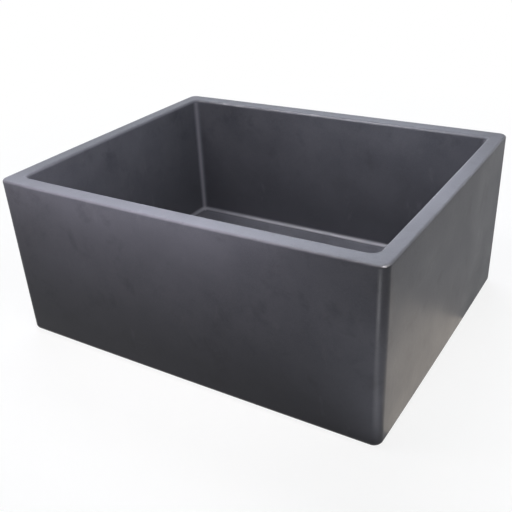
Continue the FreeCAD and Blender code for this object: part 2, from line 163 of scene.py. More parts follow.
# From the recess out under the foot, up the wall, over the rim, down the basin and through the drain to the recess.
bowl_rows = np.concatenate([
    even(base_inner, base_flat, 10), quarter(base_flat, wall_foot, 9, True), even(wall_foot, wall_head, 30),
    quarter(wall_head, rim_outer, 8, False), even(rim_outer, rim_inner, 5),
    quarter(rim_inner, basin_head, 8, True), even(basin_head, basin_foot, 28),
    quarter(basin_foot, floor_outer, 11, False), even(floor_outer, slope_outer, 2),
    even(slope_outer, seat_lip, 26), quarter(seat_lip, seat_wall, 5, True), even(seat_wall, seat_corner, 2),
    even(seat_corner, seat_inner, 3), quarter(seat_inner, bore_head, 4, True), even(bore_head, bore_foot, 3),
    quarter(bore_foot, recess_inner, 4, False), even(recess_inner, recess_outer, 5),
    even(recess_outer, recess_foot, 2), quarter(recess_foot, base_inner, 4, False),
])


def bowl_points(rows, centre_x, centre_y, angle):
    """Each point is its corner centre plus the corner radius along its direction, faded towards a circle about
    the drain. The kiln then draws the corners in by the square of their distance along the wall, lets
    the middle of the front rim sink, and leaves long shallow waves in the walls."""
    half_x, half_y, corner, radius, roundness, height = rows.T[:6, :, None]
    spread_x = centre_x * (BASIN_HALF[0] - SLOPE_CORNER) + SLOPE_CORNER * np.cos(angle)
    spread_y = centre_y * (BASIN_HALF[1] - SLOPE_CORNER) + SLOPE_CORNER * np.sin(angle)
    bearing = np.arctan2(spread_y, spread_x)
    x = (centre_x * (half_x - corner) + corner * np.cos(angle)) * (1 - roundness)
    y = (centre_y * (half_y - corner) + corner * np.sin(angle)) * (1 - roundness)
    x = x + radius * np.cos(bearing) * roundness
    y = y + radius * np.sin(bearing) * roundness
    along_x, along_y, up = x / RIM_HALF[0], y / RIM_HALF[1], height / SINK_HEIGHT
    wave = (2 + np.sin(9 * along_x + 4 * up + 1) + np.sin(7 * along_y - 5 * up)) * RIPPLE * up
    x_out = x * (1 - KILN_BOW / RIM_HALF[0] * along_y ** 2) - wave * along_x ** 9
    y_out = y * (1 - KILN_BOW / RIM_HALF[1] * along_x ** 2) - wave * along_y ** 9
    sag = RIM_SAG * (1 - along_x ** 2) * np.clip(-along_y, 0, 1) ** 2 * np.clip(up, 0, 1) ** 3
    return np.stack([x_out, y_out, height - sag], axis=-1)


bowl_columns = loop_columns(along_x=44, along_y=36, round_corner=10)
bowl = skin("fireclay_bowl", bowl_points(bowl_rows, *bowl_columns))
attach(bowl, "sink")
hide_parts("sink_bowl")

# Where the glaze is paler or darker: shares by row and column, kept on the mesh for its material. Over outer edges it
# is paler where it thins and, on the upright corners, as a painted highlight; inner corners and fillets carry a
# painted highlight; down the basin and towards the foot it is darker as painted shade; smudges are fewer in the basin.
# Painted shade: the glaze is darkened down the basin from these heights, and on the outside towards the foot.
BASIN_SHADE_START, BASIN_SHADE_LENGTH = 0.9 * SINK_HEIGHT, 0.6 * SINK_HEIGHT
FOOT_SHADE_START, FOOT_SHADE_LENGTH = 140.0, 100.0
FOOT_SHADE = 0.9
# Painted highlight: paler lines on the upright outer corners, the inner corners and the basin's fillets.
UPRIGHT_HIGHLIGHT, INNER_CORNER_HIGHLIGHT, FILLET_HIGHLIGHT = 0.5, 0.5, 0.6
RIM_SKIM = 0.1
level_rows = bowl_rows[:, HEIGHT, None]
hollow = (bowl_rows[:, :1] <= BASIN_HALF[0]) & (level_rows > FLOOR_EDGE) & (level_rows <= SINK_HEIGHT - LIP_ROUND)
outside = (bowl_rows[:, :1] > BASIN_HALF[0] + LIP_ROUND) & (level_rows > 0) & (level_rows < SINK_HEIGHT - RIM_SKIM)
upright = np.abs(np.sin(2 * bowl_columns[2]))
# Painted shade shares: deeper in the basin, and lower on the outer walls.
depth_share = np.clip((BASIN_SHADE_START - level_rows) / BASIN_SHADE_LENGTH, 0, 1) * hollow
foot_share = np.clip((FOOT_SHADE_START - level_rows) / FOOT_SHADE_LENGTH, 0, 1) * outside
# Marks: paler edges (thin glaze, painted highlight on upright corners), painted corner and fillet highlight, painted
# shade by depth, smudge shelter, bare clay.
glaze_marks = {
    "glaze_break_and_highlight": np.maximum(bowl_rows[:, ROUND_MIDDLE, None] * ~hollow, UPRIGHT_HIGHLIGHT * upright ** 4 * outside),
    "painted_corner_highlight": np.maximum(FILLET_HIGHLIGHT * bowl_rows[:, ROUND_MIDDLE, None] ** 2, INNER_CORNER_HIGHLIGHT * upright ** 6) * hollow,
    "painted_depth_shade": np.maximum(depth_share, FOOT_SHADE * foot_share) * np.ones_like(upright),
    "sheltered_glaze": depth_share * np.ones_like(upright),
    "bare_clay": np.repeat(bowl_rows[:, BARE, None], bowl_columns[2].size, axis=1),
}
for mark, amount in glaze_marks.items():
    attribute = bowl.data.attributes.new(mark, "FLOAT", "POINT")
    attribute.data.foreach_set("value", amount.astype(np.float32).ravel())


def linear(code):
    """Linear colour of an sRGB hex code, opaque."""
    srgb = np.array([int(code[i:i + 2], 16) for i in (1, 3, 5)]) / 255
    curve = np.where(srgb <= 0.04045, srgb / 12.92, ((srgb + 0.055) / 1.055) ** 2.4)
    return (*curve.tolist(), 1.0)


def per(millimetres):
    """Texture scale that makes patches about this many millimetres across."""
    return 1 / (millimetres * MM)


def add(tree, kind, inputs, **settings):
    """Add one shader node: settings go on the node, and each input takes a value or another node's output."""
    made = tree.nodes.new("ShaderNode" + kind)
    for name, value in settings.items():
        setattr(made, name, value)
    for name, value in inputs.items():
        if isinstance(value, bpy.types.NodeSocket):
            tree.links.new(value, made.inputs[name])
        else:
            made.inputs[name].default_value = value
    return made


def finish_of(name):
    """New material, its tree, empty but for a texture coordinate, and that node's place on the piece."""
    finish = bpy.data.materials.new(name)
    finish.use_nodes = True
    tree = finish.node_tree
    tree.nodes.clear()
    return finish, tree, add(tree, "TexCoord", {}).outputs["Object"]


# Matt graphite glaze: sprayed and fired, so it clouds softly over hand-widths. Over every outer edge it is paler,
# partly where the glaze thins and partly as a painted highlight on the upright corners. Down the basin and towards
# the foot its colour is darkened as painted shade, and the inner corners and basin fillets carry a painted highlight.
# Its fine dry tooth, about 1.6 mm, speckles it and scatters light into a satin sheen, so the IOR is held low.
# Handling leaves dark smudges, fewer in the basin, and faint light scuffs. Where the glaze stops, the fireclay
# underneath is buff with darker grog.
graphite_glaze, tree, place = finish_of("matt_graphite_glaze")
clouds = add(tree, "TexNoise", {"Vector": place, "Scale": per(70), "Detail": 4.0, "Roughness": 0.6})
cloud_share = add(tree, "MapRange", {"Value": clouds.outputs["Fac"], "From Min": 0.35, "From Max": 0.65})
glaze = add(tree, "MixRGB", {"Fac": cloud_share.outputs["Result"],
                             "Color1": linear("#515259"), "Color2": linear("#5a5b62")})
tooth = add(tree, "TexNoise", {"Vector": place, "Scale": per(1.6), "Detail": 3.0, "Roughness": 0.6})
tooth_share = add(tree, "MapRange", {"Value": tooth.outputs["Fac"], "From Min": 0.4, "From Max": 0.7,
                                     "To Max": 0.3})
speckled = add(tree, "MixRGB", {"Fac": tooth_share.outputs["Result"], "Color1": glaze.outputs["Color"],
                                "Color2": linear("#66676e")})
# Painted shade: darker down the basin and towards the foot.
depth_shade = add(tree, "Attribute", {}, attribute_name="painted_depth_shade")
depth_shade_share = add(tree, "Math", {0: depth_shade.outputs["Fac"], 1: 0.72}, operation="MULTIPLY")
shaded_low = add(tree, "MixRGB", {"Fac": depth_shade_share.outputs["Value"], "Color1": speckled.outputs["Color"],
                                "Color2": linear("#3c3d42")})
smudges = add(tree, "TexNoise", {"Vector": place, "Scale": per(42), "Detail": 5.0, "Roughness": 0.6,
                                 "Distortion": 0.3})
sheltered = add(tree, "Attribute", {}, attribute_name="sheltered_glaze")
touched = add(tree, "MapRange", {"Value": sheltered.outputs["Fac"], "To Min": 0.6, "To Max": 0.15})
smudge_share = add(tree, "MapRange", {"Value": smudges.outputs["Fac"], "From Min": 0.54, "From Max": 0.74,
                                      "To Max": touched.outputs["Result"]})
handled = add(tree, "MixRGB", {"Fac": smudge_share.outputs["Result"], "Color1": shaded_low.outputs["Color"],
                               "Color2": linear("#404046")})
slant = add(tree, "Mapping", {"Vector": place, "Rotation": (0.8, 0.5, 0.3), "Scale": (1.0, 1.0, 0.4)})
scuffs = add(tree, "TexNoise", {"Vector": slant.outputs["Vector"], "Scale": per(24), "Detail": 6.0,
                                "Roughness": 0.65, "Distortion": 0.3})
scuff_share = add(tree, "MapRange", {"Value": scuffs.outputs["Fac"], "From Min": 0.62, "From Max": 0.78,
                                     "To Max": 0.18})
scuffed = add(tree, "MixRGB", {"Fac": scuff_share.outputs["Result"], "Color1": handled.outputs["Color"],
                               "Color2": linear("#77777d")})
# Paler over outer edges: thin glaze, and a painted highlight on the upright corners.
edge_pale = add(tree, "Attribute", {}, attribute_name="glaze_break_and_highlight")
edge_pale_share = add(tree, "Math", {0: edge_pale.outputs["Fac"], 1: 0.35}, operation="MULTIPLY")
edge_paled = add(tree, "MixRGB", {"Fac": edge_pale_share.outputs["Value"], "Color1": scuffed.outputs["Color"],
                              "Color2": linear("#808087")})
# Painted highlight in the inner corners and along the basin's fillets.
corner_highlight = add(tree, "Attribute", {}, attribute_name="painted_corner_highlight")
highlighted = add(tree, "MixRGB", {"Fac": corner_highlight.outputs["Fac"], "Color1": edge_paled.outputs["Color"],
                               "Color2": linear("#94949c")})
grog = add(tree, "TexNoise", {"Vector": place, "Scale": per(2.5), "Detail": 2.0})
grog_share = add(tree, "MapRange", {"Value": grog.outputs["Fac"], "From Min": 0.55, "From Max": 0.7})
clay = add(tree, "MixRGB", {"Fac": grog_share.outputs["Result"],
                            "Color1": linear("#c9bca6"), "Color2": linear("#9a8a72")})
bare = add(tree, "Attribute", {}, attribute_name="bare_clay")
ragged = add(tree, "TexNoise", {"Vector": place, "Scale": per(14), "Detail": 3.0})
glaze_line = add(tree, "Math", {0: bare.outputs["Fac"], 1: ragged.outputs["Fac"]}, operation="ADD")
bare_share = add(tree, "MapRange", {"Value": glaze_line.outputs["Value"], "From Min": 0.98, "From Max": 1.06})
body_colour = add(tree, "MixRGB", {"Fac": bare_share.outputs["Result"], "Color1": highlighted.outputs["Color"],
                                   "Color2": clay.outputs["Color"]})
glaze_rough = add(tree, "MapRange", {"Value": clouds.outputs["Fac"], "From Min": 0.3, "From Max": 0.7,
                                     "To Min": 0.4, "To Max": 0.5})
rough = add(tree, "MixRGB", {"Fac": bare_share.outputs["Result"], "Color1": glaze_rough.outputs["Result"],
                             "Color2": (0.9, 0.9, 0.9, 1.0)})
orange_peel = add(tree, "TexNoise", {"Vector": place, "Scale": per(9), "Detail": 2.0})
peel_bump = add(tree, "Bump", {"Height": orange_peel.outputs["Fac"], "Distance": 0.12 * MM, "Strength": 1.0})
tooth_bump = add(tree, "Bump", {"Height": tooth.outputs["Fac"], "Distance": 0.03 * MM, "Strength": 1.0,
                                "Normal": peel_bump.outputs["Normal"]})
shader = add(tree, "BsdfPrincipled", {"Base Color": body_colour.outputs["Color"], "IOR": 1.25,
                                      "Roughness": rough.outputs["Color"],
                                      "Normal": tooth_bump.outputs["Normal"]})
add(tree, "OutputMaterial", {"Surface": shader.outputs["BSDF"]})
bowl.data.materials.append(graphite_glaze)

# Flange seal: a rope of grey plumber's putty laid in the seat, which the flange squeezes to a flat ring. It
# stays soft for years and swells a little unevenly at its edges.
SEAL_RING = (47.5, 55.5)
SEAL_LEVELS = (17.0, 19.0)
SEAL_ROUNDS = [0.9, 0.9, 0.6, 0.6]
SEAL_SWELL = 0.15
ARC_STEPS = 5


def eased(corners, rounds):
    """Profile of a polygon of corners, by radius and height, with the axis on its left. At each corner an arc
    of that round touches both sides: its centre lies on the bisector, at the round over the sine of half the
    angle. Gives the arcs' points by corner and step."""
    corner = np.array(corners, float)
    radius = np.array(rounds, float)[:, None]
    back, ahead = np.roll(corner, 1, 0) - corner, np.roll(corner, -1, 0) - corner
    back /= np.linalg.norm(back, axis=1, keepdims=True)
    ahead /= np.linalg.norm(ahead, axis=1, keepdims=True)
    half = np.arccos(np.sum(back * ahead, axis=1, keepdims=True)) / 2
    bisector = (back + ahead) / (2 * np.cos(half))
    centre = corner + bisector * radius / np.sin(half)
    start = corner + back * radius / np.tan(half) - centre
    left_turn = np.sign(ahead[:, :1] * back[:, 1:] - ahead[:, 1:] * back[:, :1])
    turn = left_turn * (np.pi - 2 * half) * np.linspace(0, 1, ARC_STEPS)
    angle = np.arctan2(start[:, 1:], start[:, :1]) + turn
    return centre[:, None, :] + radius[:, :, None] * np.stack([np.cos(angle), np.sin(angle)], axis=-1)


def turned(name, corners, rounds, columns=96, swell=0.0):
    """Piece turned about the axis of the drain: its eased profile carried round a circle, with an uneven swell
    of the outer edge where one is given. Ends of the polygon that lie on the axis become poles."""
    arcs = eased(corners, rounds)
    poles = None
    if corners[0][0] == 0:
        arcs = arcs[1:-1]
        poles = [(0, 0, corners[0][1]), (0, 0, corners[-1][1])]
    radius, height = arcs.reshape(-1, 2).T[:, :, None]
    around = np.linspace(0, 2 * np.pi, columns, endpoint=False)
    lumps = (np.sin(5 * around + 1) + np.sin(11 * around) + np.sin(17 * around + 2) - 3) * swell
    reach = radius + lumps * (radius > radius.mean())
    return skin(name, np.stack([reach * np.cos(around), reach * np.sin(around), height + 0 * around], axis=-1), poles)


def ring(inside, outside, low, high):
    """Corners of a flat ring's profile."""
    return [(outside, low), (outside, high), (inside, high), (inside, low)]


def fit_piece(piece, body, node, finish):
    """Hand a new piece its body, the node that it stands for and its finish."""
    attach(piece, body)
    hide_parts(node)
    piece.data.materials.append(finish)


# Plumber's putty: clay and oil, so it is dull and a little greasy, with thumb marks a few millimetres across.
plumbers_putty, tree, place = finish_of("plumbers_putty")
thumbed = add(tree, "TexNoise", {"Vector": place, "Scale": per(3), "Detail": 3.0})
putty = add(tree, "MixRGB", {"Fac": thumbed.outputs["Fac"], "Color1": linear("#77726a"), "Color2": linear("#989388")})
oily = add(tree, "MapRange", {"Value": thumbed.outputs["Fac"], "To Min": 0.5, "To Max": 0.8})
dents = add(tree, "Bump", {"Height": thumbed.outputs["Fac"], "Distance": 0.3 * MM})
shader = add(tree, "BsdfPrincipled", {"Base Color": putty.outputs["Color"], "Roughness": oily.outputs["Result"],
                                      "IOR": 1.48, "Normal": dents.outputs["Normal"]})
add(tree, "OutputMaterial", {"Surface": shader.outputs["BSDF"]})

flange_seal = turned("putty_ring", ring(*SEAL_RING, *SEAL_LEVELS), SEAL_ROUNDS, columns=144, swell=SEAL_SWELL)
fit_piece(flange_seal, "sink", "flange_seal", plumbers_putty)

# Strainer body: one cup of stainless sheet spun on a lathe, with a flange that lies in the seat, a ledge for the
# basket and a cone down to the outlet. The wall below the floor carries the rolled thread of its nut.
BODY_CORNERS = [(23.5, -69.5), (23.5, -49.5), (42.5, -33.5), (42.5, 7.5), (44.5, 7.5), (44.5, 19.0), (57.0, 19.0),
                (57.0, 20.5), (43.0, 20.5), (43.0, 9.0), (41.0, 9.0), (41.0, -33.5), (20.0, -49.5), (20.0, -69.5)]
BODY_ROUNDS = [0.4, 1.5, 2.0, 0.3, 0.6, 0.7, 0.4, 0.8, 1.2, 0.6, 0.7, 2.0, 1.5, 0.4]
BODY_COLUMNS = 128
THREAD_CORNER = 3
THREAD_RADIUS = BODY_CORNERS[THREAD_CORNER][0]
THREAD_FOOT, THREAD_HEAD = -31.0, 6.0
THREAD_PITCH = 2.2
THREAD_DEPTH = 0.6
THREAD_ROWS = 150


def threaded_body(name):
    """Eased profile carried round a circle, with rows added up the threaded wall. There the radius falls by a
    cosine of height over pitch less the share of a turn, which is a helix, and fades out at both ends."""
    arcs = eased(BODY_CORNERS, BODY_ROUNDS)
    wall_rows = np.linspace(THREAD_FOOT, THREAD_HEAD, THREAD_ROWS)
    threaded_wall = np.column_stack([np.full(THREAD_ROWS, THREAD_RADIUS), wall_rows])
    below, above = arcs[:THREAD_CORNER].reshape(-1, 2), arcs[THREAD_CORNER:].reshape(-1, 2)
    profile = np.concatenate([below, threaded_wall, above])
    radius, height = profile.T[:, :, None]
    around = np.linspace(0, 2 * np.pi, BODY_COLUMNS, endpoint=False)
    fade = np.clip((height - THREAD_FOOT) / THREAD_PITCH, 0, 1) * np.clip((THREAD_HEAD - height) / THREAD_PITCH, 0, 1)
    on_thread = np.isclose(radius, THREAD_RADIUS) * fade
    groove = 0.5 - 0.5 * np.cos(2 * np.pi * height / THREAD_PITCH - around)
    reach = radius - THREAD_DEPTH * on_thread * groove
    return skin(name, np.stack([reach * np.cos(around), reach * np.sin(around), height + 0 * around], axis=-1))


def lathe_place(tree, place):
    """Place as the lathe sees it: distance from the axis and level, the same all the way round."""
    across = add(tree, "VectorMath", {0: place, 1: (1.0, 1.0, 0.0)}, operation="MULTIPLY")
    from_axis = add(tree, "VectorMath", {0: across.outputs["Vector"]}, operation="LENGTH")
    level = add(tree, "SeparateXYZ", {"Vector": place})
    return add(tree, "CombineXYZ", {"X": from_axis.outputs["Value"], "Y": level.outputs["Z"]}).outputs["Vector"]


# Spun stainless steel: the lathe tool and the polishing belt leave fine lines round the axis, which draw each
# reflection out into a soft band. Water spots change the gloss in patches about 12 mm across.
# The lines are really some 0.1 mm apart, drawn here at 0.5 mm so that they show.
spun_steel, tree, place = finish_of("spun_stainless_steel")
lines = add(tree, "TexNoise", {"Vector": lathe_place(tree, place), "Scale": per(0.5), "Detail": 3.0})
spots = add(tree, "TexNoise", {"Vector": place, "Scale": per(12), "Detail": 4.0, "Roughness": 0.6})
steel = add(tree, "MixRGB", {"Fac": spots.outputs["Fac"], "Color1": linear("#a9abae"), "Color2": linear("#c4c5c7")})
line_gloss = add(tree, "MapRange", {"Value": lines.outputs["Fac"], "From Min": 0.3, "From Max": 0.7,
                                    "To Min": 0.2, "To Max": 0.36})
spot_gloss = add(tree, "MapRange", {"Value": spots.outputs["Fac"], "From Min": 0.4, "From Max": 0.7,
                                    "To Max": 0.12})
gloss = add(tree, "Math", {0: line_gloss.outputs["Result"], 1: spot_gloss.outputs["Result"]}, operation="ADD")
tool_marks = add(tree, "Bump", {"Height": lines.outputs["Fac"], "Distance": 0.015 * MM})
shader = add(tree, "BsdfPrincipled", {"Base Color": steel.outputs["Color"], "Metallic": 1.0,
                                      "Roughness": gloss.outputs["Value"], "Normal": tool_marks.outputs["Normal"]})
add(tree, "OutputMaterial", {"Surface": shader.outputs["BSDF"]})

strainer_body = threaded_body("strainer_cup")
fit_piece(strainer_body, "sink", "strainer_body", spun_steel)

# Gasket: a ring of black rubber moulded flat, pressed up against the bare clay under the floor. The same rubber
# makes the tailpiece washer, the ring on the stem and the stopper's disc.
GASKET_RING = (43.0, 58.0)
GASKET_LEVELS = (1.0, 4.0)
GASKET_ROUNDS = [1.2, 1.2, 0.6, 0.6]

# Moulded black rubber: dull charcoal with a grey bloom in patches, and the fine grain of the mould, about 0.8 mm.
black_rubber, tree, place = finish_of("moulded_black_rubber")
bloom = add(tree, "TexNoise", {"Vector": place, "Scale": per(7), "Detail": 4.0, "Roughness": 0.6})
rubber = add(tree, "MixRGB", {"Fac": bloom.outputs["Fac"], "Color1": linear("#161617"), "Color2": linear("#2d2d30")})
grain = add(tree, "TexNoise", {"Vector": place, "Scale": per(0.8), "Detail": 2.0})
dull = add(tree, "MapRange", {"Value": bloom.outputs["Fac"], "To Min": 0.6, "To Max": 0.85})
pores = add(tree, "Bump", {"Height": grain.outputs["Fac"], "Distance": 0.03 * MM})
shader = add(tree, "BsdfPrincipled", {"Base Color": rubber.outputs["Color"], "Roughness": dull.outputs["Result"],
                                      "IOR": 1.52, "Normal": pores.outputs["Normal"]})
add(tree, "OutputMaterial", {"Surface": shader.outputs["BSDF"]})

drain_gasket = turned("rubber_gasket", ring(*GASKET_RING, *GASKET_LEVELS), GASKET_ROUNDS, columns=128)
fit_piece(drain_gasket, "sink", "drain_gasket", black_rubber)

# Friction ring: a washer punched from hard brown fibre board and slipped over the body's thread. It lies between
# gasket and nut, and lets the nut turn without dragging the rubber.
FRICTION_LEVELS = (-0.5, 1.0)
FRICTION_ROUNDS = [0.25] * 4

# Vulcanised fibre: pressed paper, brown and dry, with short fibres about 0.6 mm wide lying flat in its faces.
fibre_board, tree, place = finish_of("vulcanised_fibre")
flat_lie = add(tree, "Mapping", {"Vector": place, "Rotation": (0.0, 0.0, 0.6), "Scale": (1.0, 0.2, 1.0)})
fibres = add(tree, "TexNoise", {"Vector": flat_lie.outputs["Vector"], "Scale": per(0.6), "Detail": 3.0,
                                "Distortion": 1.0})
board = add(tree, "MixRGB", {"Fac": fibres.outputs["Fac"], "Color1": linear("#4d321c"), "Color2": linear("#8a6038")})
dry = add(tree, "MapRange", {"Value": fibres.outputs["Fac"], "To Min": 0.65, "To Max": 0.9})
nap = add(tree, "Bump", {"Height": fibres.outputs["Fac"], "Distance": 0.05 * MM})
shader = add(tree, "BsdfPrincipled", {"Base Color": board.outputs["Color"], "Roughness": dry.outputs["Result"],
                                      "IOR": 1.5, "Normal": nap.outputs["Normal"]})
add(tree, "OutputMaterial", {"Surface": shader.outputs["BSDF"]})

friction_ring = turned("fibre_ring", ring(*GASKET_RING, *FRICTION_LEVELS), FRICTION_ROUNDS, columns=128)
fit_piece(friction_ring, "sink", "friction_ring", fibre_board)

# Locknut: a heavy ring of cast brass with eight lugs, screwed up the body's thread by a wrench on the lugs until it
# clamps the floor between the flange and the gasket.
NUT_BORE, NUT_RING = 42.65, 52.65
NUT_LEVELS = (-14.5, -0.5)
NUT_ROUNDS = [1.2, 1.2, 0.6, 0.6]
LUG_END = 59.65
LUG_HALF = 6.0
LUGS = 8
LUG_COLUMNS = np.radians([0, 2, 4, 4.8, 5.2, 5.5, 5.7, 5.9, 6.1, 6.3, 6.5, 6.8, 7.2, 8, 10, 13, 17, 20])
LUG_SHARPNESS, ROOT_SHARPNESS = 24, 60


def lugged_nut(name):
    """Eased ring whose outer part is pushed out to the lugs' outline. By angle from the nearest lug, a lug is the
    rounded box with one over radius the high-power mean of cosine over reach and sine over half width; the
    outline is the high-power mean of that and the ring, which leaves a small fillet at each root."""
    arcs = eased(ring(NUT_BORE, NUT_RING, *NUT_LEVELS), NUT_ROUNDS)
    radius, height = arcs.reshape(-1, 2).T[:, :, None]
    sector = np.concatenate([-LUG_COLUMNS[:0:-1], LUG_COLUMNS, [np.pi / LUGS]])
    box = ((np.cos(sector) / LUG_END) ** LUG_SHARPNESS
           + np.abs(np.sin(sector) / LUG_HALF) ** LUG_SHARPNESS) ** (-1 / LUG_SHARPNESS)
    outline = NUT_RING * (1 + (box / NUT_RING) ** ROOT_SHARPNESS) ** (1 / ROOT_SHARPNESS)
    around = (np.arange(LUGS)[:, None] * 2 * np.pi / LUGS + sector).ravel()
    pushed = (radius > (NUT_BORE + NUT_RING) / 2) * (np.tile(outline, LUGS) - NUT_RING)
    reach = radius + pushed
    return skin(name, np.stack([reach * np.cos(around), reach * np.sin(around), height + 0 * around], axis=-1))


# Sand-cast brass: left as it came from the mould, so it is dull, grainy at about 0.9 mm and browned by handling.
cast_brass, tree, place = finish_of("sand_cast_brass")
tarnish = add(tree, "TexNoise", {"Vector": place, "Scale": per(11), "Detail": 5.0, "Roughness": 0.6})
tarnish_share = add(tree, "MapRange", {"Value": tarnish.outputs["Fac"], "From Min": 0.35, "From Max": 0.65})
brass = add(tree, "MixRGB", {"Fac": tarnish_share.outputs["Result"], "Color1": linear("#b8935a"),
                             "Color2": linear("#8c6a3b")})
sand = add(tree, "TexNoise", {"Vector": place, "Scale": per(0.9), "Detail": 3.0})
cast_gloss = add(tree, "MapRange", {"Value": tarnish.outputs["Fac"], "To Min": 0.38, "To Max": 0.62})
cast_skin = add(tree, "Bump", {"Height": sand.outputs["Fac"], "Distance": 0.12 * MM})
shader = add(tree, "BsdfPrincipled", {"Base Color": brass.outputs["Color"], "Metallic": 1.0,
                                      "Roughness": cast_gloss.outputs["Result"],
                                      "Normal": cast_skin.outputs["Normal"]})
add(tree, "OutputMaterial", {"Surface": shader.outputs["BSDF"]})

drain_locknut = lugged_nut("lugged_locknut")
fit_piece(drain_locknut, "sink", "drain_locknut", cast_brass)

# Tailpiece: a drawn brass tube with its head flared to a flange, chrome plated. A rubber washer seals it against
# the outlet, and its plain foot goes down into the trap.
WASHER_RING = (20.0, 23.0)
WASHER_LEVELS = (-72.0, -69.5)
WASHER_ROUNDS = [0.5] * 4
TAIL_CORNERS = [(19.05, -172.0), (19.05, -73.5), (23.0, -73.5), (23.0, -72.0), (17.85, -72.0), (17.85, -172.0)]
TAIL_ROUNDS = [0.4, 0.8, 0.5, 0.5, 0.6, 0.4]

tailpiece_washer = turned("tailpiece_washer_ring", ring(*WASHER_RING, *WASHER_LEVELS), WASHER_ROUNDS)
fit_piece(tailpiece_washer, "sink", "tailpiece_washer", black_rubber)

# Chrome plate: a mirror with the faint waves of the polished brass under it, about 15 mm long, and wiped
# smears that dull it here and there.
chrome_plate, tree, place = finish_of("polished_chrome_plate")
smears = add(tree, "TexNoise", {"Vector": place, "Scale": per(9), "Detail": 5.0, "Roughness": 0.65, "Distortion": 0.8})
smear_gloss = add(tree, "MapRange", {"Value": smears.outputs["Fac"], "From Min": 0.4, "From Max": 0.75,
                                     "To Min": 0.05, "To Max": 0.2})
chrome = add(tree, "MixRGB", {"Fac": smears.outputs["Fac"], "Color1": linear("#dcdee1"), "Color2": linear("#c9cbcf")})
waves = add(tree, "TexNoise", {"Vector": place, "Scale": per(15), "Detail": 1.0})
wavy = add(tree, "Bump", {"Height": waves.outputs["Fac"], "Distance": 0.08 * MM})
shader = add(tree, "BsdfPrincipled", {"Base Color": chrome.outputs["Color"], "Metallic": 1.0,
                                      "Roughness": smear_gloss.outputs["Result"], "Normal": wavy.outputs["Normal"]})
add(tree, "OutputMaterial", {"Surface": shader.outputs["BSDF"]})

tailpiece = turned("tailpiece_tube", TAIL_CORNERS, TAIL_ROUNDS)
fit_piece(tailpiece, "sink", "tailpiece", chrome_plate)

# Coupling nut: a chromed hexagon forged in brass, threaded onto the outlet. A lip at its foot lifts the flared head
# of the tailpiece against the washer.
COUPLING_FLAT = 28.15
COUPLING_LEVELS = (-76.5, -52.5)
COUPLING_INSIDE = [(23.65, -52.5), (23.65, -73.5), (20.2, -73.5), (20.2, -76.5)]
HEX_TURN = np.radians(15)
HEX_SHARPNESS = 70
CHAMFER_SLOPE = math.tan(math.radians(60))
CHAMFER_STEPS = 7


def hexagon(name, flat, levels, inside, ease, columns=144):
    """Nut with six flats. By angle, its outline is the distance to a flat over the high-power mean of the cosines
    to the six flats, which eases the corners. At both ends a cone of 30 degrees cuts the corners off: the
    radius is at most the flat less an ease, plus the depth below the end times the cone's slope."""
    around = np.linspace(0, 2 * np.pi, columns, endpoint=False)
    to_flats = np.cos(around - HEX_TURN - np.radians(30 + 60 * np.arange(6))[:, None])
    outline = flat * np.sum(np.clip(to_flats, 0, 1) ** HEX_SHARPNESS, axis=0) ** (-1 / HEX_SHARPNESS)
    deep = (outline.max() - flat + ease) / CHAMFER_SLOPE
    depth = np.linspace(0, deep, CHAMFER_STEPS)
    height = np.concatenate([levels[0] + depth, levels[1] - depth[::-1]])[:, None]
    cone = flat - ease + CHAMFER_SLOPE * np.concatenate([depth, depth[::-1]])[:, None]
    reach = np.minimum(outline, cone)
    hole = eased(inside + [(flat - ease, levels[0]), (flat - ease, levels[1])], [ease] * (len(inside) + 2))
    radius, level = hole[:len(inside)].reshape(-1, 2).T[:, :, None]
    reach = np.concatenate([reach, radius + 0 * around])
    height = np.concatenate([height, level])
    return skin(name, np.stack([reach * np.cos(around), reach * np.sin(around), height + 0 * around], axis=-1))


coupling_nut = hexagon("coupling_hexagon", COUPLING_FLAT, COUPLING_LEVELS, COUPLING_INSIDE, ease=0.6)
fit_piece(coupling_nut, "sink", "coupling_nut", chrome_plate)

# Basket: a cup pressed from thin stainless sheet, punched with rings of holes in its floor and slots round its wall.
# Its rim lies on the ledge of the body, and the whole cup lifts out with the stopper.
for slot in nodes["basket_cup"].material_slots:
    slot.material = spun_steel

# Stem guide: a small bush turned from brass bar, with a flange above the basket floor, and a washer and a thin nut
# below it. A rubber ring in a groove of its bore grips the stem.
GUIDE_CORNERS = [(5.55, -20.8), (5.55, -15.0), (9.05, -15.0), (9.05, -11.5), (3.05, -11.5), (3.05, -15.05),
                 (4.65, -15.05), (4.65, -17.25), (3.05, -17.25), (3.05, -20.8)]
GUIDE_ROUNDS = [0.3, 0.2, 0.3, 0.8, 0.5, 0.15, 0.2, 0.2, 0.15, 0.3]
GUIDE_HOLE = 5.65
GUIDE_WASHER_RING = (GUIDE_HOLE, 9.05)
GUIDE_WASHER_LEVELS = (-16.8, -16.0)
GUIDE_WASHER_ROUNDS = [0.25] * 4
GUIDE_NUT_FLAT = 8.55
GUIDE_NUT_LEVELS = (-19.8, -16.8)
GUIDE_NUT_INSIDE = [(GUIDE_HOLE, GUIDE_NUT_LEVELS[1]), (GUIDE_HOLE, GUIDE_NUT_LEVELS[0])]

